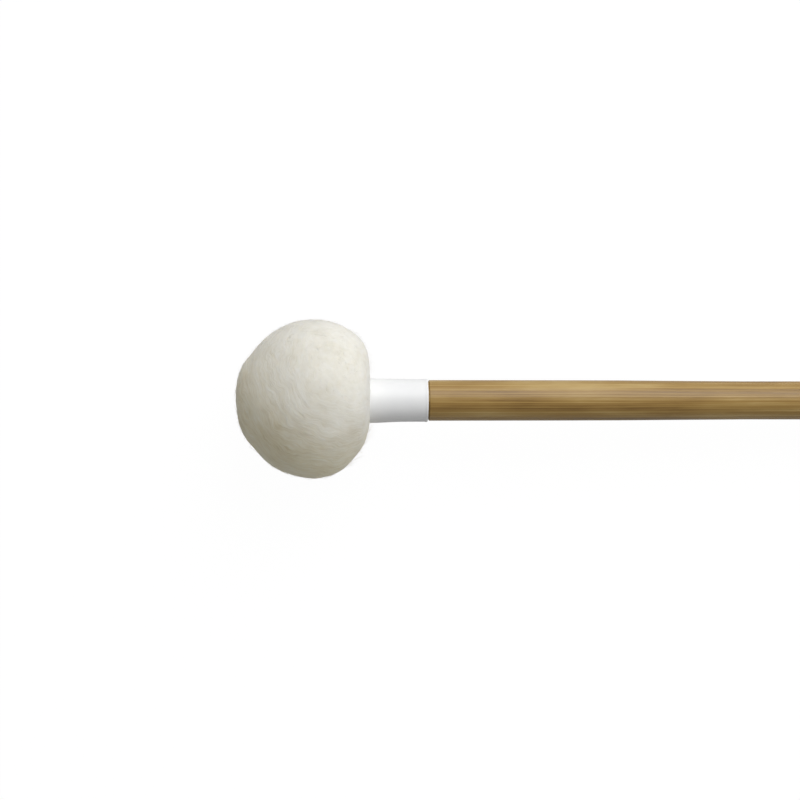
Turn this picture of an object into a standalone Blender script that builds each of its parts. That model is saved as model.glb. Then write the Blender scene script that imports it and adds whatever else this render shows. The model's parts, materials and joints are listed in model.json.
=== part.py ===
"""Timpani mallet lying at rest on a table.

A wool felt head on a bamboo shaft, with a white sleeve at the neck. Every piece is modelled along
the mallet's own axis, which is the local X axis from the nose of the head to the butt. One empty
carries them all and lays the mallet down, so that it rests on the head and on the edge of the butt.
"""

import math

import bmesh
import bpy
from mathutils import Vector

# Sizes of the whole, in metres
LENGTH = 0.370
FIT_GAP = 0.0003
SEGMENTS = 40
SMALL_SEGMENTS = 24
EDGE_BREAK = 0.00012

# Head, from the middle outwards
CORE_RADIUS = 0.0125
CORE_LENGTH = 0.0200
CORE_ROUND = 0.0030
LINER_THICKNESS = 0.0028
LINER_ROUND = 0.0014
WOOL_THICKNESS = 0.0067

# Head, from the nose backwards
WOOL_AT_NOSE = 0.0092
PAD_RADIUS = 0.0080
PAD_THICKNESS = 0.0012
WASHER_RADIUS = 0.0105
WASHER_THICKNESS = 0.0015
WOOL_AT_BACK = 0.0050

# Shape that the felt was pressed and rolled into
NOSE_FLATNESS = 0.00054
BACK_SQUARENESS = 12
SIDE_SWELL = 0.00050
REST_DEPTH = 0.0005
MOUTH_LIP = 0.0005

# Gathered mouth of the felt and its thread
SKIRT_LENGTH = 0.0063
SKIRT_END_LIP = 0.0006
TIED_FELT = 0.0004
THREAD_RADIUS = 0.00025
THREAD_PITCH = 0.00095
THREAD_TURNS = 5

# White sleeve
SLEEVE_SEEN = 0.0167
SLEEVE_TUCK = 0.0022
SLEEVE_WALL = 0.00036
SLEEVE_PROUD = 0.00028
SLEEVE_FLARE = 0.00030
SLEEVE_FLARE_LENGTH = 0.0125

# Bamboo shaft
SHAFT_RADIUS = 0.00583
TAPER_RADIUS = 0.00574
TAPER_AT = 0.114
WAIST_RADIUS = 0.00550
WAIST_AT = 0.143
GRIP_RADIUS = 0.00560
NODE_AT = 0.213
NODE_SWELL = 0.00034
NODE_LENGTH = 0.0045
NODE_GROOVE = 0.00024
BUTT_RADIUS = 0.00540
BUTT_ROUND = 0.0016
TENON_RADIUS = 0.0034
NECK_RADIUS = 0.0039
SHOULDER_SLOPE = 0.0012
BORE_RADIUS = 0.0018
DIAPHRAGM = 0.0050

# Dowel and plug in the pith bore
DOWEL_LENGTH = 0.0280
PLUG_RADIUS = 0.0027
PLUG_LENGTH = 0.0120
PLUG_CHAMFER = 0.0004

# Places along the axis, counted from the nose
PAD_FRONT = WOOL_AT_NOSE + FIT_GAP
CORE_FRONT = PAD_FRONT + PAD_THICKNESS + FIT_GAP
CORE_BACK = CORE_FRONT + CORE_LENGTH
WASHER_FRONT = CORE_BACK + FIT_GAP
CAVITY_BACK = WASHER_FRONT + WASHER_THICKNESS + FIT_GAP
HEAD_BACK = CAVITY_BACK + WOOL_AT_BACK
SLEEVE_FRONT = HEAD_BACK - SLEEVE_TUCK
SLEEVE_END = HEAD_BACK + SLEEVE_SEEN
SKIRT_END = HEAD_BACK + SKIRT_LENGTH
SEAT_FRONT = SKIRT_END + FIT_GAP

# Radii that follow from the pieces inside or outside them
LINER_INSIDE = CORE_RADIUS + FIT_GAP
LINER_RADIUS = LINER_INSIDE + LINER_THICKNESS
CAVITY_RADIUS = LINER_RADIUS + FIT_GAP
HEAD_RADIUS = CAVITY_RADIUS + WOOL_THICKNESS
HEAD_CENTRE = HEAD_RADIUS - NOSE_FLATNESS
SLEEVE_RADIUS = SHAFT_RADIUS + SLEEVE_PROUD
SEAT_RADIUS = SLEEVE_RADIUS - SLEEVE_WALL - FIT_GAP
SLEEVE_MOUTH = SLEEVE_RADIUS + SLEEVE_FLARE
SKIRT_INSIDE = NECK_RADIUS + FIT_GAP
TIED_RADIUS = SKIRT_INSIDE + TIED_FELT
THREAD_CENTRE = TIED_RADIUS + FIT_GAP + THREAD_RADIUS
MOUTH_RADIUS = SLEEVE_MOUTH + FIT_GAP
CORE_BORE = TENON_RADIUS + FIT_GAP
PLUG_HOLE = PLUG_RADIUS + FIT_GAP

# Hollows and humps of the hand-shaped felt. Each lies some degrees back from the nose and some
# degrees round the axis, from the upper side towards +Y. It reaches so many degrees along the head
# and round it, and its depth is in metres, where a hump is negative.
HOLLOWS = (
    (38, 90, 8, 32, 0.00055),
    (52, 90, 18, 38, 0.00055),
    (127, 90, 16, 50, 0.00066),
    (9, -90, 8, 25, 0.00017),
    (41, -90, 12, 38, 0.00058),
    (90, -90, 9, 34, -0.00020),
    (128, -90, 15, 50, 0.00196),
    (62, 28, 22, 26, 0.00026),
    (104, -34, 24, 26, 0.00020),
    (60, 158, 20, 24, 0.00034),
    (118, 146, 18, 24, -0.00020),
    (66, -146, 22, 24, -0.00018),
    (20, -20, 14, 22, -0.00014),
)


def clear_scene():
    for thing in list(bpy.data.objects):
        bpy.data.objects.remove(thing, do_unlink=True)


def material(name, colour, roughness, metallic=0.0):
    made = bpy.data.materials.new(name)
    made.use_nodes = True
    shader = made.node_tree.nodes["Principled BSDF"]
    shader.inputs["Base Color"].default_value = (*colour, 1.0)
    shader.inputs["Roughness"].default_value = roughness
    shader.inputs["Metallic"].default_value = metallic
    return made


def rounded(corners, closed):
    """Outline through corners given as (along, radius, fillet), with each fillet as a short arc.

    A broken edge is a plain chamfer, and no fillet is wider than the sides beside it leave room for.
    """
    outline = []
    for index, (along, radius, fillet) in enumerate(corners):
        corner = Vector((along, radius))
        at_end = not closed and index in (0, len(corners) - 1)
        if fillet == 0.0 or at_end:
            outline.append(corner)
            continue
        sides = []
        room = math.inf
        for neighbour in (corners[index - 1], corners[(index + 1) % len(corners)]):
            side = Vector(neighbour[:2]) - corner
            sides.append(side.normalized())
            room = min(room, side.length * (0.48 if neighbour[2] else 0.96))
        half_angle = sides[0].angle(sides[1]) / 2
        reach = min(fillet / math.tan(half_angle), room)
        middle = (sides[0] + sides[1]) * reach / (2 * math.cos(half_angle) ** 2)
        start = sides[0] * reach - middle
        end = sides[1] * reach - middle
        steps = 1 if fillet <= EDGE_BREAK else 4
        for step in range(steps + 1):
            spoke = start.slerp(end, step / steps)
            outline.append(corner + middle + spoke.normalized() * start.length)
    return outline


def turned(outline, closed, segments):
    """Mesh turned about the X axis from an outline of (along, radius) points."""
    turning = bmesh.new()
    points = [turning.verts.new((along, 0.0, radius)) for along, radius in outline]
    edges = [turning.edges.new(pair) for pair in zip(points, points[1:])]
    if closed:
        edges.append(turning.edges.new((points[-1], points[0])))
    bmesh.ops.spin(
        turning,
        geom=points + edges,
        cent=(0.0, 0.0, 0.0),
        axis=(1.0, 0.0, 0.0),
        angle=2 * math.pi,
        steps=segments,
    )
    bmesh.ops.remove_doubles(turning, verts=turning.verts, dist=1e-7)
    bmesh.ops.recalc_face_normals(turning, faces=turning.faces)
    return turning


def add_piece(name, shape, surface, carrier):
    """Object from a finished bmesh, shaded smooth but for its corners."""
    mesh = bpy.data.meshes.new(name)
    shape.to_mesh(mesh)
    shape.free()
    mesh.shade_smooth()
    mesh.set_sharp_from_angle(angle=math.radians(35))
    piece = bpy.data.objects.new(name, mesh)
    bpy.context.scene.collection.objects.link(piece)
    mesh.materials.append(surface)
    piece.parent = carrier
    return piece


def smooth_step(share):
    share = min(max(share, 0.0), 1.0)
    return share * share * (3 - 2 * share)


def through(stations, along):
    """Smooth curve through (along, radius) stations."""
    last = len(stations) - 1
    index = 0
    while index < last - 1 and along > stations[index + 1][0]:
        index += 1
    (x0, y0), (x1, y1) = stations[index], stations[index + 1]
    slopes = []
    for middle in (index, index + 1):
        (xa, ya), (xb, yb) = stations[max(middle - 1, 0)], stations[min(middle + 1, last)]
        slopes.append((yb - ya) / (xb - xa))
    width = x1 - x0
    t = min(max((along - x0) / width, 0.0), 1.0)
    return (
        (2 * t**3 - 3 * t**2 + 1) * y0
        + (t**3 - 2 * t**2 + t) * width * slopes[0]
        + (3 * t**2 - 2 * t**3) * y1
        + (t**3 - t**2) * width * slopes[1]
    )


def shaft_radius(along):
    """Radius of the bamboo at a place along the axis, with its slight waist and its one node."""
    radius = through(
        (
            (SLEEVE_END, SHAFT_RADIUS),
            (TAPER_AT, TAPER_RADIUS),
            (WAIST_AT, WAIST_RADIUS),
            (NODE_AT, GRIP_RADIUS),
            (LENGTH - 2 * BUTT_ROUND, BUTT_RADIUS),
        ),
        along,
    )
    from_node = (along - NODE_AT) / NODE_LENGTH
    swell = NODE_SWELL * math.exp(-(from_node**2))
    groove = NODE_GROOVE * math.exp(-((from_node * 7) ** 2))
    return radius + swell - groove


def shaft_places():
    """Places along the shaft where its outline is drawn, close together round the node."""
    start = SLEEVE_END + FIT_GAP
    length = LENGTH - 2 * BUTT_ROUND - start
    steps = 17
    even = [start + length * step / steps for step in range(1, steps + 1)]
    near = [
        NODE_AT + side * share * NODE_LENGTH
        for side in (-1, 1)
        for share in (0.1, 0.3, 0.65, 1.1, 1.8)
    ]
    clear_of_node = [place for place in even if abs(place - NODE_AT) > 2.6 * NODE_LENGTH]
    return sorted(clear_of_node + near + [NODE_AT])


def bamboo_shaft(carrier):
    """Bamboo cane: tenon, neck, sleeve seat, shaft with one node, butt, and a bore on either side
    of the node's diaphragm."""
    shoulder = SLEEVE_END + FIT_GAP
    hole_end = LENGTH - PLUG_LENGTH - FIT_GAP
    tip = CORE_FRONT + FIT_GAP
    corners = [
        (NODE_AT - DIAPHRAGM / 2, 0.0, 0.0),
        (NODE_AT - DIAPHRAGM / 2 - BORE_RADIUS, BORE_RADIUS, 0.0),
        (tip, BORE_RADIUS, 0.0),
        (tip, TENON_RADIUS, EDGE_BREAK),
        (CORE_BACK + FIT_GAP, TENON_RADIUS, 0.0),
        (CORE_BACK + FIT_GAP, NECK_RADIUS, EDGE_BREAK),
        (SEAT_FRONT, NECK_RADIUS, 0.0),
        (SEAT_FRONT + SHOULDER_SLOPE, SEAT_RADIUS, 0.0),
        (shoulder, SEAT_RADIUS, 0.0),
        (shoulder, shaft_radius(SLEEVE_END), EDGE_BREAK),
    ]
    corners += [(place, shaft_radius(place), 0.0) for place in shaft_places()]
    corners += [
        (LENGTH, BUTT_RADIUS, BUTT_ROUND),
        (LENGTH, PLUG_HOLE, 0.0),
        (hole_end, PLUG_HOLE, 0.0),
        (hole_end, BORE_RADIUS, 0.0),
        (NODE_AT + DIAPHRAGM / 2 + BORE_RADIUS, BORE_RADIUS, 0.0),
        (NODE_AT + DIAPHRAGM / 2, 0.0, 0.0),
    ]
    shape = turned(rounded(corners, closed=False), closed=False, segments=SEGMENTS)
    return add_piece(
        "bamboo_shaft", shape, material("bamboo", (0.45, 0.32, 0.17), 0.42), carrier
    )


def plain_round(name, front, back, radius, fillet, surface, carrier, bore=0.0, segments=SMALL_SEGMENTS):
    """Disc, dowel or washer from front to back along the axis."""
    if bore > 0.0:
        corners = (
            (front, bore, 0.0),
            (front, radius, fillet),
            (back, radius, fillet),
            (back, bore, 0.0),
        )
        shape = turned(rounded(corners, closed=True), closed=True, segments=segments)
    else:
        corners = (
            (front, 0.0, 0.0),
            (front, radius, fillet),
            (back, radius, fillet),
            (back, 0.0, 0.0),
        )
        shape = turned(rounded(corners, closed=False), closed=False, segments=segments)
    return add_piece(name, shape, surface, carrier)


def core_liner(carrier):
    """Band of hard felt round the straight side of the core."""
    plain_round(
        "core_liner",
        CORE_FRONT + CORE_ROUND,
        CORE_BACK - CORE_ROUND,
        LINER_RADIUS,
        LINER_ROUND,
        material("hard_felt", (0.62, 0.55, 0.44), 0.95),
        carrier,
        bore=LINER_INSIDE,
        segments=SEGMENTS,
    )


def skin_distance(polar):
    """How far the plain ball with its flat back reaches from its centre, at an angle from the nose."""
    backwards = -math.cos(polar)
    if backwards <= 0.0:
        return HEAD_RADIUS
    flat = (HEAD_BACK - HEAD_CENTRE) / backwards
    return HEAD_RADIUS * (1 + (HEAD_RADIUS / flat) ** BACK_SQUARENESS) ** (-1 / BACK_SQUARENESS)


def felt_offset(polar, around):
    """How far the felt stands off the plain ball, at degrees back from the nose and round the axis."""
    side = math.sin(math.radians(polar))
    offset = SIDE_SWELL * side * math.sin(math.radians(around))
    offset -= NOSE_FLATNESS * math.exp(-((polar / 24) ** 2))
    for back, turn, reach_along, reach_round, depth in HOLLOWS:
        along = (polar - back) / reach_along
        across = ((around - turn + 180) % 360 - 180) * side / reach_round
        offset -= depth * math.exp(-(along**2) - across**2)
    return offset


def rest_tilt():
    """Tilt of the axis when the head's underside and the butt's edge lie on one level."""
    lever = LENGTH - BUTT_ROUND - HEAD_CENTRE
    arm = math.hypot(lever, BUTT_RADIUS)
    return math.asin((HEAD_RADIUS - REST_DEPTH) / arm) - math.atan2(BUTT_RADIUS, lever)


def head_cavity():
    """Outline of the hollow that closes round the pads, the core and its band, nose first."""
    pad_side = PAD_RADIUS + FIT_GAP
    washer_side = WASHER_RADIUS + FIT_GAP
    core_side = CORE_RADIUS + FIT_GAP
    core_room = CORE_ROUND + FIT_GAP
    band_front = CORE_FRONT + CORE_ROUND - FIT_GAP
    band_back = CORE_BACK - CORE_ROUND + FIT_GAP
    return [
        (WOOL_AT_NOSE, 0.0, 0.0),
        (WOOL_AT_NOSE, pad_side, 0.0),
        (CORE_FRONT - FIT_GAP, pad_side, 0.0),
        (CORE_FRONT - FIT_GAP, core_side, core_room),
        (band_front, core_side, 0.0),
        (band_front, CAVITY_RADIUS, LINER_ROUND),
        (band_back, CAVITY_RADIUS, LINER_ROUND),
        (band_back, core_side, 0.0),
        (CORE_BACK + FIT_GAP, core_side, core_room),
        (CORE_BACK + FIT_GAP, washer_side, 0.0),
        (CAVITY_BACK, washer_side, 0.0),
        (CAVITY_BACK, SKIRT_INSIDE, 0.0),
    ]


def sleeve_radius(along):
    """Outer radius of the sleeve: widest over the felt's mouth, then drawn in."""
    share = min(max((along - HEAD_BACK) / SLEEVE_FLARE_LENGTH, 0.0), 1.0)
    return SLEEVE_MOUTH - SLEEVE_FLARE * math.sin(share * math.pi / 2)


def wool_head(carrier):
    """Ball of wool felt, open at the neck, where its mouth is gathered under the sleeve."""
    mouth_floor = SLEEVE_FRONT - FIT_GAP
    skirt_radius = sleeve_radius(SKIRT_END) - SLEEVE_WALL - FIT_GAP
    tie_front = SKIRT_END - SKIRT_END_LIP - THREAD_PITCH * THREAD_TURNS - 2 * THREAD_RADIUS
    tie_back = SKIRT_END - SKIRT_END_LIP
    back_flat = HEAD_BACK - HEAD_CENTRE
    last_polar = math.pi - math.atan2(MOUTH_RADIUS + MOUTH_LIP, back_flat)
    skin = []
    steps = 30
    for step in range(steps + 1):
        polar = last_polar * step / steps
        reach = skin_distance(polar)
        skin.append((HEAD_CENTRE - reach * math.cos(polar), reach * math.sin(polar)))
    skin[0] = (skin[0][0], 0.0)
    rim = HEAD_BACK - MOUTH_LIP
    neck = rounded(
        [
            (*skin[-1], 0.0),
            (rim, MOUTH_RADIUS, 0.0),
            (mouth_floor, MOUTH_RADIUS, 0.0),
            (mouth_floor, skirt_radius, 0.0),
            (tie_front - SKIRT_END_LIP, skirt_radius, 0.0),
            (tie_front, TIED_RADIUS, 0.0),
            (tie_back, TIED_RADIUS, 0.0),
            (SKIRT_END, skirt_radius, 0.0),
            (SKIRT_END, SKIRT_INSIDE, 0.0),
            *reversed(head_cavity()),
        ],
        closed=False,
    )
    outline = [Vector(point) for point in skin] + neck[1:]
    shape = turned(outline, closed=False, segments=SEGMENTS)

    centre = Vector((HEAD_CENTRE, 0.0, 0.0))
    fade = math.radians(9)
    for vertex in shape.verts:
        spoke = vertex.co - centre
        polar = spoke.angle(Vector((-1, 0, 0)))
        if polar > last_polar or abs(spoke.length - skin_distance(polar)) > 1e-6:
            continue
        around = math.degrees(math.atan2(spoke.y, spoke.z))
        stand_off = felt_offset(math.degrees(polar), around)
        stand_off *= smooth_step((last_polar - polar) / fade)
        vertex.co += spoke.normalized() * stand_off

    tilt = rest_tilt()
    down = Vector((math.sin(tilt), 0.0, -math.cos(tilt)))
    cut = bmesh.ops.bisect_plane(
        shape,
        geom=shape.verts[:] + shape.edges[:] + shape.faces[:],
        plane_co=centre + down * (HEAD_RADIUS - REST_DEPTH),
        plane_no=down,
        clear_outer=True,
    )
    rim_edges = [thing for thing in cut["geom_cut"] if isinstance(thing, bmesh.types.BMEdge)]
    bmesh.ops.contextual_create(shape, geom=rim_edges)
    bmesh.ops.recalc_face_normals(shape, faces=shape.faces)
    return add_piece("wool_head", shape, material("wool", (0.72, 0.69, 0.60), 0.95), carrier)


def gather_thread(carrier):
    """Thread wound round the felt's mouth, one tube from end to end."""
    spline_points = 24
    start = SKIRT_END - SKIRT_END_LIP - THREAD_PITCH * THREAD_TURNS - THREAD_RADIUS
    places = []
    for step in range(spline_points * THREAD_TURNS + 1):
        turn = step / spline_points
        angle = 2 * math.pi * turn
        places.append(
            Vector(
                (
                    start + THREAD_PITCH * turn,
                    THREAD_CENTRE * math.sin(angle),
                    THREAD_CENTRE * math.cos(angle),
                )
            )
        )
    apart = min(
        (first - second).length
        for index, first in enumerate(places)
        for second in places[index + spline_points // 2 :]
    )
    print(f"gather_thread: {1000 * (apart - 2 * THREAD_RADIUS):.2f} mm between its turns")
    curve = bpy.data.curves.new("gather_thread", "CURVE")
    curve.dimensions = "3D"
    curve.bevel_depth = THREAD_RADIUS
    curve.bevel_resolution = 1
    curve.use_fill_caps = True
    spline = curve.splines.new("POLY")
    spline.points.add(len(places) - 1)
    for point, place in zip(spline.points, places):
        point.co = (*place, 1.0)
    curve.materials.append(material("linen_thread", (0.66, 0.60, 0.48), 0.85))
    piece = bpy.data.objects.new("gather_thread", curve)
    bpy.context.scene.collection.objects.link(piece)
    piece.parent = carrier
    return piece


def neck_sleeve(carrier):
    """Thin white sleeve, a little wider where it goes over the felt's mouth, with a lip behind."""
    steps = 6
    places = [HEAD_BACK + SLEEVE_FLARE_LENGTH * step / steps for step in range(steps + 1)]
    places = [SLEEVE_FRONT, *(place for place in places if place < SLEEVE_END), SLEEVE_END]
    outside = [(place, sleeve_radius(place)) for place in places]
    inside = [(along, radius - SLEEVE_WALL) for along, radius in reversed(outside)]
    corners = [(along, radius, 0.0) for along, radius in outside + inside]
    for end in (0, len(outside) - 1):
        corners[end] = (*outside[end], EDGE_BREAK)
    shape = turned(rounded(corners, closed=True), closed=True, segments=SEGMENTS)
    return add_piece(
        "neck_sleeve", shape, material("white_vinyl", (0.86, 0.87, 0.88), 0.38), carrier
    )


def lay_down(carrier):
    """Tilts the mallet into its rest and puts the middle of its footprint at the origin."""
    carrier.rotation_euler = (0.0, rest_tilt(), 0.0)
    bpy.context.view_layer.update()
    corners = [
        piece.matrix_world @ vertex.co
        for piece in carrier.children
        if piece.type == "MESH"
        for vertex in piece.data.vertices
    ]
    low = [min(corner[axis] for corner in corners) for axis in range(3)]
    high = [max(corner[axis] for corner in corners) for axis in range(3)]
    carrier.location = (-(low[0] + high[0]) / 2, -(low[1] + high[1]) / 2, -low[2])
    bpy.context.view_layer.update()


clear_scene()
mallet_axis = bpy.data.objects.new("mallet_axis", None)
bpy.context.scene.collection.objects.link(mallet_axis)

bamboo_shaft(mallet_axis)
hardwood = material("hardwood", (0.50, 0.33, 0.18), 0.60)
plain_round(
    "tip_dowel",
    CORE_FRONT + FIT_GAP,
    CORE_FRONT + FIT_GAP + DOWEL_LENGTH,
    BORE_RADIUS - FIT_GAP,
    PLUG_CHAMFER,
    hardwood,
    mallet_axis,
)
plain_round(
    "head_core",
    CORE_FRONT,
    CORE_BACK,
    CORE_RADIUS,
    CORE_ROUND,
    material("turned_wood", (0.58, 0.42, 0.26), 0.65),
    mallet_axis,
    bore=CORE_BORE,
    segments=SEGMENTS,
)
core_liner(mallet_axis)
pad_felt = material("pad_felt", (0.60, 0.56, 0.48), 0.95)
plain_round(
    "nose_pad",
    PAD_FRONT,
    PAD_FRONT + PAD_THICKNESS,
    PAD_RADIUS,
    PAD_THICKNESS / 4,
    pad_felt,
    mallet_axis,
)
plain_round(
    "back_washer",
    WASHER_FRONT,
    WASHER_FRONT + WASHER_THICKNESS,
    WASHER_RADIUS,
    WASHER_THICKNESS / 4,
    pad_felt,
    mallet_axis,
    bore=NECK_RADIUS + FIT_GAP,
)
wool_head(mallet_axis)
gather_thread(mallet_axis)
neck_sleeve(mallet_axis)
plain_round(
    "butt_plug",
    LENGTH - PLUG_LENGTH,
    LENGTH,
    PLUG_RADIUS,
    PLUG_CHAMFER,
    hardwood,
    mallet_axis,
)
lay_down(mallet_axis)
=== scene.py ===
import json
import math
import random

import bpy
from mathutils import Matrix, Vector, noise


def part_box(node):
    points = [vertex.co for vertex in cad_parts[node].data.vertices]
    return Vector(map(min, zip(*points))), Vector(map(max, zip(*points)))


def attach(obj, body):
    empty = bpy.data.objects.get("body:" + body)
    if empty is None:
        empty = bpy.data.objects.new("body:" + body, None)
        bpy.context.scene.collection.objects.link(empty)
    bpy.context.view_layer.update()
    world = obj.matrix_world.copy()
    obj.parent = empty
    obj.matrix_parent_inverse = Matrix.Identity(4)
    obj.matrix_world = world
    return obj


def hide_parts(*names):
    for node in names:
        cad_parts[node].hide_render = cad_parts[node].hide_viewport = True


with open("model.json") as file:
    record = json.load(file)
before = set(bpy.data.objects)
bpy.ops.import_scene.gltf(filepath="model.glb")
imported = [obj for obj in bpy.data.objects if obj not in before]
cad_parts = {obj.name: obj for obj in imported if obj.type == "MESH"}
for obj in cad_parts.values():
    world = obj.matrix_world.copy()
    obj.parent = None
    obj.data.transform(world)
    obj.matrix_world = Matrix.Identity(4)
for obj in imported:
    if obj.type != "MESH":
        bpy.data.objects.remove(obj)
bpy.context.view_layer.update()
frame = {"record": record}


# Wool head
# A thick ball of cream wool felt, needled and rolled by hand round the core until it is firm.
# Its back is pressed flat, and its mouth is gathered over the neck and tied under the sleeve.

MALLET_LENGTH = 0.370
butt_end = next(mount for mount in frame["record"]["mounts"] if mount["name"] == "butt_end")
along_axis = Vector(butt_end["axis"]).normalized()
across_axis = Vector((0.0, 1.0, 0.0))
above_axis = along_axis.cross(across_axis)
nose_point = Vector(butt_end["pos_m"]) - along_axis * MALLET_LENGTH


def mallet_point(along, radius, around):
    """Point so far from the nose and from the axis; around is 0 on top and turns towards +Y."""
    spoke = across_axis * math.sin(around) + above_axis * math.cos(around)
    return nose_point + along_axis * along + spoke * radius


def smooth_step(share):
    share = min(max(share, 0.0), 1.0)
    return share * share * (3 - 2 * share)


HEAD_RADIUS = 0.0226
NOSE_FLATNESS = 0.00054
NOSE_REACH = 24
HEAD_BACK = 0.0381
BACK_SQUARENESS = 12
SIDE_SWELL = 0.0005
MOUTH_SIDE = 0.00645
MOUTH_LIP = 0.0005
MOUTH_FADE = math.radians(9)
HEAD_CENTRE = HEAD_RADIUS - NOSE_FLATNESS
ball_centre = nose_point + along_axis * HEAD_CENTRE
mouth_polar = math.pi - math.atan2(MOUTH_SIDE + MOUTH_LIP, HEAD_BACK - HEAD_CENTRE)

# where the hands pressed the wool in, or left it full where the depth is negative:
# degrees back from the nose, degrees round the axis, reach along and round in degrees, depth
FELT_HOLLOWS = (
    (38, 90, 8, 32, 0.00055),
    (52, 90, 18, 38, 0.00055),
    (127, 90, 16, 50, 0.00066),
    (9, -90, 8, 25, 0.00017),
    (41, -90, 12, 38, 0.00058),
    (90, -90, 9, 34, -0.00020),
    (128, -90, 15, 50, 0.00196),
    (62, 28, 22, 26, 0.00026),
    (104, -34, 24, 26, 0.00020),
    (60, 158, 20, 24, 0.00034),
    (118, 146, 18, 24, -0.00020),
    (66, -146, 22, 24, -0.00018),
    (20, -20, 14, 22, -0.00014),
)


def ball_distance(polar):
    """Distance from the centre to a plain ball with its back squared off flat."""
    backwards = -math.cos(polar)
    if backwards <= 0.0:
        return HEAD_RADIUS
    flat = (HEAD_BACK - HEAD_CENTRE) / backwards
    return HEAD_RADIUS * (1 + (HEAD_RADIUS / flat) ** BACK_SQUARENESS) ** (-1 / BACK_SQUARENESS)


def clear_of_mouth(polar):
    """1 over the ball, falling to 0 at the mouth, which is true to the sleeve."""
    return smooth_step((mouth_polar - polar) / MOUTH_FADE)


def hand_shaping(polar, around):
    """How far the hand-made ball stands out of the plain one."""
    back = math.degrees(polar)
    turn = math.degrees(around)
    side = math.sin(polar)
    offset = SIDE_SWELL * side * math.sin(around)
    offset -= NOSE_FLATNESS * math.exp(-((back / NOSE_REACH) ** 2))
    for hollow_back, hollow_turn, reach_along, reach_round, depth in FELT_HOLLOWS:
        along = (back - hollow_back) / reach_along
        across = ((turn - hollow_turn + 180) % 360 - 180) * side / reach_round
        offset -= depth * math.exp(-(along**2) - across**2)
    return offset * clear_of_mouth(polar)


def spoke_out(polar, around):
    """Unit vector out of the ball's centre."""
    return mallet_point(HEAD_CENTRE - math.cos(polar), math.sin(polar), around) - ball_centre


# the wool was laid round and round this direction, which is why its fibres lie in circles
lay_pole = Vector((0.47, 0.50, 0.73)).normalized()
lay_side = lay_pole.cross(Vector((0, 0, 1))).normalized()
lay_other = lay_pole.cross(lay_side)

# height in metres, and lumps or strands a millimetre
FELT_LUMPS = ((0.000090, 0.16), (0.000030, 0.55))
FELT_STRANDS = ((0.000030, 1.35, 0.11), (0.000016, 2.60, 0.22))
# share of their height that the strands have at the pole, and millimetres out to the whole
STRANDS_AT_POLE = 0.3
STRANDS_FULL = 16


def fibre_relief(spoke):
    """Height of the felt's surface from its lumps and from the strands laid round the pole."""
    place = spoke * HEAD_RADIUS * 1000
    from_pole = spoke.angle(lay_pole) * HEAD_RADIUS * 1000
    laid = STRANDS_AT_POLE + (1 - STRANDS_AT_POLE) * smooth_step(from_pole / STRANDS_FULL)
    height = 0.0
    for rise, lumps in FELT_LUMPS:
        height += rise * noise.noise(place * lumps)
    for rise, across, along in FELT_STRANDS:
        strand = (from_pole * across, place.dot(lay_side) * along, place.dot(lay_other) * along)
        height += laid * rise * noise.noise(Vector(strand))
    return height


FELT_TURNS = 400
FELT_ROWS = 200
MOUTH_RELIEF = 0.25
felt_turns = [2 * math.pi * step / FELT_TURNS for step in range(FELT_TURNS)]
felt_rings = []
for row in range(1, FELT_ROWS + 1):
    polar = mouth_polar * row / FELT_ROWS
    calm = MOUTH_RELIEF + (1 - MOUTH_RELIEF) * clear_of_mouth(polar)
    ring = []
    for around in felt_turns:
        spoke = spoke_out(polar, around)
        signed = (around + math.pi) % (2 * math.pi) - math.pi
        reach = ball_distance(polar) + hand_shaping(polar, signed) + fibre_relief(spoke) * calm
        point = ball_centre + spoke * reach
        point.z = max(point.z, 0.0)
        ring.append(point)
    felt_rings.append(ring)

MOUTH_BEVEL = 0.0004
MOUTH_FLOOR = 0.0356
SKIRT_SIDE = 0.0056
SKIRT_END = 0.0444
TIE_FRONT = 0.03855
TIE_BACK = 0.0438
TIE_SLOPE = 0.0006
TIED_SIDE = 0.0046
NECK_ROOM = 0.0042
WASHER_BACK = 0.0331
WASHER_ROOM = 0.0108
CORE_BACK = 0.0313
CORE_FRONT = 0.0107
CORE_ROOM = 0.0159
CORE_CORNER = 0.0031
CORE_FACE = 0.0098
PAD_FRONT = 0.0092
PAD_ROOM = 0.0083

inside_outline = (
    # the mouth, which takes the sleeve's end
    (HEAD_BACK - MOUTH_BEVEL, MOUTH_SIDE),
    (MOUTH_FLOOR, MOUTH_SIDE),
    # the gathered skirt, drawn in where it is tied, and the neck that goes through it
    (MOUTH_FLOOR, SKIRT_SIDE),
    (TIE_FRONT - TIE_SLOPE, SKIRT_SIDE),
    (TIE_FRONT, TIED_SIDE),
    (TIE_BACK, TIED_SIDE),
    (SKIRT_END, SKIRT_SIDE),
    (SKIRT_END, NECK_ROOM),
    # the hollow for the washer, the core with its hard felt, and the nose pad
    (WASHER_BACK, NECK_ROOM),
    (WASHER_BACK, WASHER_ROOM),
    (CORE_BACK, WASHER_ROOM),
    (CORE_BACK - CORE_CORNER, CORE_ROOM - CORE_CORNER),
    (CORE_BACK - CORE_CORNER, CORE_ROOM),
    (CORE_FRONT + CORE_CORNER, CORE_ROOM),
    (CORE_FRONT + CORE_CORNER, CORE_ROOM - CORE_CORNER),
    (CORE_FRONT, CORE_FACE),
    (CORE_FRONT, PAD_ROOM),
    (PAD_FRONT, PAD_ROOM),
)
for along, radius in inside_outline:
    felt_rings.append([mallet_point(along, radius, around) for around in felt_turns])


def new_piece(name, points, faces):
    mesh = bpy.data.meshes.new(name)
    mesh.from_pydata([tuple(point) for point in points], [], faces)
    mesh.update()
    mesh.shade_smooth()
    piece = bpy.data.objects.new(name, mesh)
    bpy.context.scene.collection.objects.link(piece)
    return piece


SHARP_FOLD = math.radians(50)


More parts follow.
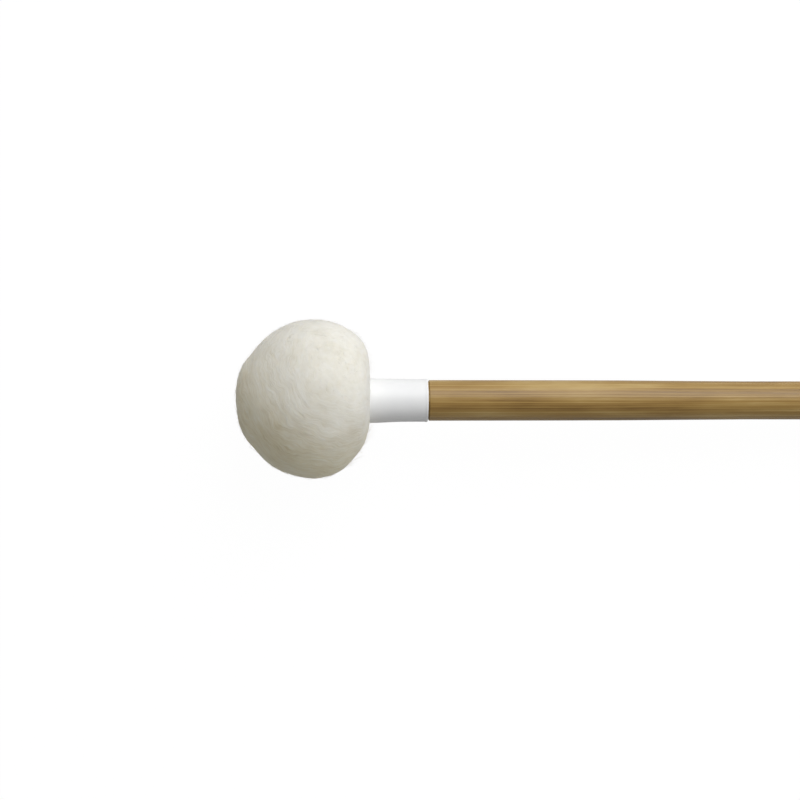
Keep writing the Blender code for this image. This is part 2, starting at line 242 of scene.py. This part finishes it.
def skin_rings(name, rings, first_point=None, last_point=None):
    """Piece skinned over rings, closed by a point at each end, or else end to end."""
    count = len(rings[0])
    points = [point for ring in rings for point in ring]
    faces = []
    open_ended = first_point is not None
    for row in range(len(rings) - 1 if open_ended else len(rings)):
        low, high = row * count, (row + 1) % len(rings) * count
        for step in range(count):
            after = (step + 1) % count
            faces.append((low + step, high + step, high + after, low + after))
    if open_ended:
        first = len(points)
        last_ring = first - count
        points += [first_point, last_point]
        for step in range(count):
            after = (step + 1) % count
            faces.append((first, step, after))
            faces.append((first + 1, last_ring + after, last_ring + step))
    piece = new_piece(name, points, faces)
    piece.data.set_sharp_from_angle(angle=SHARP_FOLD)
    return piece


wool_ball = skin_rings(
    "wool_felt_ball",
    felt_rings,
    first_point=mallet_point(0.0, 0.0, 0.0),
    last_point=mallet_point(PAD_FRONT, 0.0, 0.0),
)


def new_finish(name, roughness):
    finish = bpy.data.materials.new(name)
    finish.use_nodes = True
    shader = finish.node_tree.nodes["Principled BSDF"]
    shader.inputs["Roughness"].default_value = roughness
    return finish, shader


def add_node(owner, kind, links=(), **settings):
    """Shader node with its settings. Each (socket, source) joins a socket or gives its value."""
    tree = owner.node_tree
    node = tree.nodes.new(kind)
    for key, value in settings.items():
        setattr(node, key, value)
    for socket, source in links:
        if isinstance(source, bpy.types.NodeSocket):
            tree.links.new(source, node.inputs[socket])
        else:
            node.inputs[socket].default_value = source
    return node


def number_maths(owner, operation, *values):
    """Arithmetic on numbers."""
    return add_node(owner, "ShaderNodeMath", enumerate(values), operation=operation).outputs[0]


def vector_maths(owner, operation, *values):
    """Arithmetic on places and directions."""
    node = add_node(owner, "ShaderNodeVectorMath", enumerate(values), operation=operation)
    return node.outputs["Value" if operation == "DOT_PRODUCT" else "Vector"]


def mottle(finish, place, scale, detail, depth=None):
    """Noise of so many lumps a metre. A depth takes it through a fourth dimension."""
    links = [("Vector", place), ("Scale", scale), ("Detail", detail)]
    if depth is None:
        return add_node(finish, "ShaderNodeTexNoise", links).outputs["Fac"]
    links.append(("W", depth))
    return add_node(finish, "ShaderNodeTexNoise", links, noise_dimensions="4D").outputs["Fac"]


def between(finish, share, first, second):
    links = [("Factor", share), ("A", first), ("B", second)]
    return add_node(finish, "ShaderNodeMix", links, data_type="FLOAT").outputs["Result"]


def ease(finish, value, low, high, top=1.0):
    """0 below low, rising smoothly to top above high."""
    links = [("Value", value), ("From Min", low), ("From Max", high), ("To Max", top)]
    node = add_node(finish, "ShaderNodeMapRange", links, interpolation_type="SMOOTHSTEP")
    return node.outputs["Result"]


def colour_steps(finish, tone, stops):
    """Colour by tone, from (tone, colour) stops."""
    ramp = add_node(finish, "ShaderNodeValToRGB", [("Fac", tone)])
    elements = ramp.color_ramp.elements
    while len(elements) < len(stops):
        elements.new(0.5)
    for element, (place, colour) in zip(elements, stops):
        element.position = place
        element.color = (*colour, 1.0)
    return ramp.outputs["Color"]


def dress(finish, shader, shade, height, strength, distance):
    """Gives the finish its colour, and its relief from a height."""
    links = [("Strength", strength), ("Distance", distance), ("Height", height)]
    bump = add_node(finish, "ShaderNodeBump", links)
    finish.node_tree.links.new(shade, shader.inputs["Base Color"])
    finish.node_tree.links.new(bump.outputs["Normal"], shader.inputs["Normal"])


# lumps a metre across the fibres and along them, and how finely they are broken up
FIBRE_ROWS = ((44.0, 150.0, 3.0), (95.0, 340.0, 2.0))
FIBRE_WANDER = 0.42
# direction towards the key lamp, which sets the painted light on the wool
KEY_LAMP_SIDE = (0.42, 0.62, 0.66)


def wool_finish():
    """Matt cream wool: long pale fibres laid in circles, matted where they meet at the pole."""
    finish, shader = new_finish("cream_wool_felt", 0.92)
    place = add_node(finish, "ShaderNodeTexCoord").outputs["Object"]
    from_centre = vector_maths(finish, "SUBTRACT", place, tuple(ball_centre))
    spoke = vector_maths(finish, "NORMALIZE", from_centre)
    towards_pole = vector_maths(finish, "DOT_PRODUCT", spoke, tuple(lay_pole))
    from_pole = number_maths(finish, "ARCCOSINE", towards_pole)
    wander = mottle(finish, place, 95.0, 3.0)
    wandering = number_maths(finish, "MULTIPLY_ADD", wander, FIBRE_WANDER, from_pole)
    strands = []
    for across, along, detail in FIBRE_ROWS:
        depth = number_maths(finish, "MULTIPLY", wandering, across / along)
        strands.append(mottle(finish, place, along, detail, depth))
    laid = between(finish, 0.5, *strands)
    nap = mottle(finish, place, 620.0, 3.0)
    nap_range = [("Value", nap), ("To Min", 0.36), ("To Max", 0.70)]
    matted = add_node(finish, "ShaderNodeMapRange", nap_range).outputs["Result"]
    fibres = between(finish, ease(finish, from_pole, 0.25, 1.05, 0.9), matted, laid)
    tone = between(finish, 0.3, fibres, mottle(finish, place, 130.0, 4.0))
    pale = colour_steps(
        finish,
        tone,
        ((0.36, (0.66, 0.625, 0.525)), (0.50, (0.755, 0.735, 0.66)), (0.64, (0.83, 0.82, 0.765))),
    )
    # painted light: a lighter, yellower copy of the wool's colours for the side away from the lamp
    warm = colour_steps(
        finish,
        tone,
        ((0.38, (0.76, 0.66, 0.42)), (0.50, (0.89, 0.81, 0.575)), (0.62, (0.96, 0.91, 0.72))),
    )
    # painted light: paler, greyer wool towards the key lamp and warmer, brighter wool away from it,
    # standing in for light scattered through the fibres on the shaded side
    far_side = vector_maths(finish, "DOT_PRODUCT", spoke, KEY_LAMP_SIDE)
    painted_lit_side_share = ease(finish, far_side, -0.35, 0.75)
    links = [("Factor", painted_lit_side_share), (6, warm), (7, pale)]
    blend = add_node(finish, "ShaderNodeMix", links, data_type="RGBA")
    dress(finish, shader, blend.outputs[2], fibres, 0.6, 0.0003)
    shader.inputs["Subsurface Weight"].default_value = 0.6
    shader.inputs["Subsurface Radius"].default_value = (1.0, 0.92, 0.75)
    shader.inputs["Subsurface Scale"].default_value = 0.006
    shader.inputs["Sheen Weight"].default_value = 0.25
    shader.inputs["Sheen Roughness"].default_value = 0.6
    shader.inputs["Specular IOR Level"].default_value = 0.15
    return finish


wool = wool_finish()
wool_ball.data.materials.append(wool)
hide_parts("wool_head")
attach(wool_ball, "root")


# Stray fibres
# Single wool fibres that the felting left loose. They lie close along the surface with their
# free ends lifted a little, which softens the outline of the ball.

STRAY_COUNT = 1600
STRAY_SEED = 7
STRAY_RADIUS = 0.000022
STRAY_TAPER = 0.6
STRAY_LENGTHS = (0.0014, 0.0042)
STRAY_LIFTS = (0.03, 0.22)
STRAY_RISE = 0.01
STRAY_CURL = 1.6
STRAY_SPREAD = 0.5
STRAY_BEND = 0.35
STRAY_HUG = 0.45
STRAY_BACKMOST = -0.86
STRAY_LOWEST = 0.001
STRAY_RINGS = 6
STRAY_SIDES = 3


def stray_fibre(draw):
    """Rings of one fibre from its root to its free end, or none where it would be underneath."""
    polar = math.acos(draw.uniform(STRAY_BACKMOST, 1.0))
    around = draw.uniform(-math.pi, math.pi)
    spoke = spoke_out(polar, around)
    reach = ball_distance(polar) + hand_shaping(polar, around)
    root = ball_centre + spoke * reach
    if root.z < STRAY_LOWEST:
        return []
    run = lay_pole.cross(spoke).normalized()
    run = (Matrix.Rotation(draw.gauss(0.0, STRAY_SPREAD), 3, spoke) @ run) * draw.choice((-1, 1))
    bend = spoke.cross(run) * draw.gauss(0.0, STRAY_BEND)
    length = draw.uniform(*STRAY_LENGTHS)
    lift = draw.uniform(*STRAY_LIFTS)
    side = spoke.cross(run).normalized()
    rings = []
    for step in range(STRAY_RINGS):
        share = step / (STRAY_RINGS - 1)
        off = run * share + bend * share**2 - spoke * (share**2 * length * STRAY_HUG / reach)
        rise = spoke * (lift * share**STRAY_CURL + STRAY_RISE)
        middle = root + (off + rise) * length
        radius = STRAY_RADIUS * (1.0 - STRAY_TAPER * share)
        ring = []
        for corner in range(STRAY_SIDES):
            turn = 2 * math.pi * corner / STRAY_SIDES
            point = middle + (side * math.cos(turn) + spoke * math.sin(turn)) * radius
            point.z = max(point.z, 0.0)
            ring.append(point)
        rings.append(ring)
    return rings


draw = random.Random(STRAY_SEED)
stray_points = []
stray_faces = []
for _ in range(STRAY_COUNT):
    fibre = stray_fibre(draw)
    if not fibre:
        continue
    root = len(stray_points)
    for ring in fibre:
        stray_points += ring
    tip = len(stray_points) - STRAY_SIDES
    for low in range(root, tip, STRAY_SIDES):
        for corner in range(STRAY_SIDES):
            after = (corner + 1) % STRAY_SIDES
            high = low + STRAY_SIDES
            stray_faces.append((low + corner, low + after, high + after, high + corner))
    stray_faces.append(tuple(root + corner for corner in reversed(range(STRAY_SIDES))))
    stray_faces.append(tuple(tip + corner for corner in range(STRAY_SIDES)))

strays = new_piece("stray_wool_fibres", stray_points, stray_faces)
strays.data.materials.append(wool)
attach(strays, "root")


# White sleeve
# A thin white plastic sleeve, shrunk over the gathered felt and the turned neck of the shaft.
# It is a little wider over the felt, and its cut edge behind stands up as a thin bright lip.

SLEEVE_FRONT = 0.0360
SLEEVE_END = 0.0547
SLEEVE_SIDE = 0.00611
SLEEVE_FLARE = 0.00030
SLEEVE_FLARE_LENGTH = 0.0125
SLEEVE_WALL = 0.00036
SLEEVE_BORE_END = 0.00586
SLEEVE_BORE_STEPS = (0.0543, 0.0506, 0.0455, 0.0410, SLEEVE_FRONT)
SLEEVE_EDGE = 0.0001
SLEEVE_EDGE_DROP = 0.00004
LIP_HEIGHT = 0.00007
LIP_WIDTH = 0.0003
LIP_CREST = 0.0004
LIP_SPAN = 0.0012
LIP_ROWS = 12
BULGE_HEIGHT = 0.00010
BULGE_AT = 0.0405
BULGE_REACH = 0.0035
SLEEVE_TURNS = 128
SLEEVE_ROWS = 40


def sleeve_side(along):
    share = min(max((along - HEAD_BACK) / SLEEVE_FLARE_LENGTH, 0.0), 1.0)
    lip = LIP_HEIGHT * math.exp(-(((along - SLEEVE_END + LIP_CREST) / LIP_WIDTH) ** 2))
    return SLEEVE_SIDE + SLEEVE_FLARE * (1 - math.sin(share * math.pi / 2)) + lip


def sleeve_bulge(along, around):
    """The gathered felt pushes the sleeve out a little towards -Y and lets it in towards +Y."""
    front = math.exp(-(((along - BULGE_AT) / BULGE_REACH) ** 2))
    return -BULGE_HEIGHT * front * math.sin(around)


lip_start = SLEEVE_END - LIP_SPAN
sleeve_places = []
for step in range(SLEEVE_ROWS + 1):
    sleeve_places.append(SLEEVE_FRONT + (lip_start - SLEEVE_FRONT) * step / SLEEVE_ROWS)
for step in range(1, LIP_ROWS + 1):
    sleeve_places.append(lip_start + (LIP_SPAN - SLEEVE_EDGE) * step / LIP_ROWS)
sleeve_outline = [(along, sleeve_side(along)) for along in sleeve_places]
sleeve_outline.append((SLEEVE_END, SLEEVE_SIDE - SLEEVE_EDGE_DROP))
sleeve_outline.append((SLEEVE_END, SLEEVE_BORE_END))
for along in SLEEVE_BORE_STEPS:
    sleeve_outline.append((along, sleeve_side(along) - SLEEVE_WALL))

sleeve_turns = [2 * math.pi * step / SLEEVE_TURNS for step in range(SLEEVE_TURNS)]
sleeve_rings = []
for along, radius in sleeve_outline:
    sleeve_rings.append(
        [
            mallet_point(along, radius + sleeve_bulge(along, around), around)
            for around in sleeve_turns
        ]
    )
sleeve = skin_rings("white_neck_sleeve", sleeve_rings)


def sleeve_finish():
    """Smooth satin white plastic with the faintest waviness."""
    finish, shader = new_finish("satin_white_plastic", 0.42)
    place = add_node(finish, "ShaderNodeTexCoord").outputs["Object"]
    waves = mottle(finish, place, 260.0, 3.0)
    shade = colour_steps(
        finish, waves, ((0.3, (0.855, 0.862, 0.872)), (0.7, (0.88, 0.885, 0.89)))
    )
    dress(finish, shader, shade, waves, 0.12, 0.00005)
    shader.inputs["Specular IOR Level"].default_value = 0.35
    return finish


sleeve.data.materials.append(sleeve_finish())
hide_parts("neck_sleeve")
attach(sleeve, "root")


# Bamboo shaft
# One length of slim bamboo with a single node, scraped and sanded so that its fibres show as
# fine lines, then thinly lacquered. It is turned down at the head for the core and the sleeve.


def axis_place(finish):
    """Object coordinates turned so that X runs along the mallet."""
    place = add_node(finish, "ShaderNodeTexCoord").outputs["Object"]
    tilt = math.atan2(-along_axis.z, along_axis.x)
    links = [("Vector", place), ("Center", (0, 0, 0)), ("Axis", (0, 1, 0)), ("Angle", -tilt)]
    turned = add_node(finish, "ShaderNodeVectorRotate", links, rotation_type="AXIS_ANGLE")
    return turned.outputs["Vector"]


def grain(finish, place, along, across, detail, rough):
    """Noise drawn out along the mallet, by its lumps a metre along and across."""
    drawn_out = vector_maths(finish, "MULTIPLY", place, (along, across, across))
    links = [("Vector", drawn_out), ("Scale", 1.0), ("Detail", detail), ("Roughness", rough)]
    return add_node(finish, "ShaderNodeTexNoise", links).outputs["Fac"]


def bamboo_finish():
    """Tan bamboo with fine dark and pale fibre lines under a thin lacquer."""
    finish, shader = new_finish("lacquered_bamboo", 0.40)
    place = axis_place(finish)
    lines = grain(finish, place, 12.0, 2400.0, 3.0, 0.7)
    bands = grain(finish, place, 8.0, 640.0, 3.0, 0.55)
    patches = grain(finish, place, 42.0, 150.0, 3.0, 0.55)
    tone = between(finish, 0.25, between(finish, 0.45, lines, bands), patches)
    shade = colour_steps(
        finish,
        tone,
        (
            (0.38, (0.20, 0.112, 0.028)),
            (0.46, (0.32, 0.190, 0.052)),
            (0.53, (0.39, 0.246, 0.074)),
            (0.61, (0.52, 0.370, 0.150)),
        ),
    )
    dress(finish, shader, shade, lines, 0.35, 0.00006)
    shader.inputs["Coat Weight"].default_value = 0.25
    shader.inputs["Coat Roughness"].default_value = 0.30
    shader.inputs["Specular IOR Level"].default_value = 0.3
    return finish


def give_finish(node, finish):
    piece = bpy.data.objects[node]
    piece.data.materials.clear()
    piece.data.materials.append(finish)


give_finish("bamboo_shaft", bamboo_finish())


# Butt plug and tip dowel
# Two short pieces of sanded hardwood, glued into the pith bore of the bamboo. The plug closes the
# butt, and the dowel stiffens the turned tenon inside the head.


def wood_finish(name, dark, light, roughness):
    finish, shader = new_finish(name, roughness)
    lines = grain(finish, axis_place(finish), 60.0, 900.0, 4.0, 0.6)
    shade = colour_steps(finish, lines, ((0.35, dark), (0.65, light)))
    dress(finish, shader, shade, lines, 0.3, 0.00005)
    return finish


hardwood = wood_finish("plug_hardwood", (0.38, 0.23, 0.11), (0.56, 0.38, 0.21), 0.5)
give_finish("butt_plug", hardwood)
give_finish("tip_dowel", hardwood)


# Core, hard felt and pads
# A turned wooden core is glued on the tenon, in a band of hard felt. A soft felt disc lies before
# it and a felt washer behind it, so that no wood comes near the wool's surface.


def felt_finish(name, dark, light):
    finish, shader = new_finish(name, 0.95)
    place = add_node(finish, "ShaderNodeTexCoord").outputs["Object"]
    nap = mottle(finish, place, 1400.0, 5.0)
    shade = colour_steps(finish, nap, ((0.35, dark), (0.65, light)))
    dress(finish, shader, shade, nap, 0.5, 0.0001)
    shader.inputs["Sheen Weight"].default_value = 0.2
    return finish


core_wood = wood_finish("turned_core_wood", (0.46, 0.31, 0.17), (0.64, 0.48, 0.30), 0.6)
give_finish("head_core", core_wood)
hard_felt = felt_finish("hard_felt_band", (0.52, 0.45, 0.34), (0.68, 0.61, 0.50))
give_finish("core_liner", hard_felt)
pad_felt = felt_finish("pad_felt", (0.52, 0.48, 0.40), (0.66, 0.62, 0.54))
give_finish("nose_pad", pad_felt)
give_finish("back_washer", pad_felt)


# Gather thread
# Five turns of linen thread, wound tight round the felt's skirt behind the head. The sleeve
# covers them.

linen = felt_finish("linen_thread", (0.56, 0.50, 0.38), (0.72, 0.66, 0.54))
give_finish("gather_thread", linen)


# Table
# A plain white table top. It shows as white to the camera and keeps a faint shadow of the mallet.
# The white is fainter in reflections, which keeps the underside of the shaft dark.

WHITE = (1.0, 1.0, 1.0, 1.0)
TABLE_SIDE = 6.0
TABLE_GREY = (0.55, 0.55, 0.55, 1.0)
TABLE_GLOW = 1.05
WHITE_IN_VIEW = 0.93
WHITE_IN_REFLECTIONS = 0.15

bpy.ops.mesh.primitive_plane_add(size=TABLE_SIDE, location=(0.0, 0.0, 0.0))
table = bpy.context.object
table.name = "white_table"
table_finish, table_shader = new_finish("white_table_top", 0.9)
table_shader.inputs["Base Color"].default_value = TABLE_GREY
table_shader.inputs["Specular IOR Level"].default_value = 0.0
rays = add_node(table_finish, "ShaderNodeLightPath").outputs
mirrored = number_maths(table_finish, "MAXIMUM", rays["Is Glossy Ray"], rays["Is Transmission Ray"])
whitened = number_maths(
    table_finish,
    "MAXIMUM",
    number_maths(table_finish, "MULTIPLY", rays["Is Camera Ray"], WHITE_IN_VIEW),
    number_maths(table_finish, "MULTIPLY", mirrored, WHITE_IN_REFLECTIONS),
)
glow = add_node(table_finish, "ShaderNodeEmission", [("Color", WHITE), ("Strength", TABLE_GLOW)])
table_blend = add_node(
    table_finish,
    "ShaderNodeMixShader",
    [(0, whitened), (1, table_shader.outputs["BSDF"]), (2, glow.outputs["Emission"])],
)
table_finish.node_tree.links.new(
    table_blend.outputs["Shader"],
    table_finish.node_tree.nodes["Material Output"].inputs["Surface"],
)
table.data.materials.append(table_finish)


# Studio light
# A white room that lights the mallet softly, a large lamp over its far side, and two weak ones:
# low beyond it, and low to the right, past the butt.

ROOM_STRENGTH = 0.27
LAMP_DISTANCE = 1.2

world = bpy.data.worlds.new("studio")
bpy.context.scene.world = world
world.use_nodes = True
room_light = world.node_tree.nodes["Background"]
room_light.inputs["Color"].default_value = WHITE
room_light.inputs["Strength"].default_value = ROOM_STRENGTH
room_seen = add_node(world, "ShaderNodeBackground", [("Color", WHITE), ("Strength", 1.0)])
room_blend = add_node(
    world,
    "ShaderNodeMixShader",
    [
        (0, add_node(world, "ShaderNodeLightPath").outputs["Is Camera Ray"]),
        (1, room_light.outputs["Background"]),
        (2, room_seen.outputs["Background"]),
    ],
)
world.node_tree.links.new(
    room_blend.outputs["Shader"], world.node_tree.nodes["World Output"].inputs["Surface"]
)


def soft_lamp(name, towards, side, power):
    """Square lamp, so many metres and watts, that faces the wool head from a direction."""
    lamp = bpy.data.lights.new(name, "AREA")
    lamp.shape = "SQUARE"
    lamp.size = side
    lamp.energy = power
    holder = bpy.data.objects.new(name, lamp)
    bpy.context.scene.collection.objects.link(holder)
    direction = Vector(towards).normalized()
    holder.location = ball_centre + direction * LAMP_DISTANCE
    holder.rotation_euler = direction.to_track_quat("Z", "Y").to_euler()


soft_lamp("key_lamp", (0.34, 0.62, 0.70), 0.9, 11.2)
soft_lamp("far_side_fill", (0.1, 1.0, 0.12), 0.8, 1.6)
soft_lamp("right_fill", (1.0, -0.10, 0.35), 0.8, 2.2)


# Camera
# Straight above the table, far enough for a long lens. The nose and the mallet's axis fall on
# the same pixels as in the photograph, 3.5 pixels to the millimetre at the ball's centre.

PIXELS_PER_METRE = 3500.0
PICTURE_SIDE = 800
NOSE_PIXEL = 236.3
AXIS_PIXEL = 400.4

camera = bpy.data.cameras.new("camera")
camera.lens = 90.0
camera.sensor_width = 36.0
camera.clip_end = 10.0
viewer = bpy.data.objects.new("camera", camera)
bpy.context.scene.collection.objects.link(viewer)
picture_width = PICTURE_SIDE / PIXELS_PER_METRE
viewer.location = (
    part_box("wool_head")[0][0] + (PICTURE_SIDE / 2 - NOSE_PIXEL) / PIXELS_PER_METRE,
    nose_point.y + (AXIS_PIXEL - PICTURE_SIDE / 2) / PIXELS_PER_METRE,
    ball_centre.z + picture_width * camera.lens / camera.sensor_width,
)
bpy.context.scene.camera = viewer
bpy.context.scene.view_settings.view_transform = "Standard"
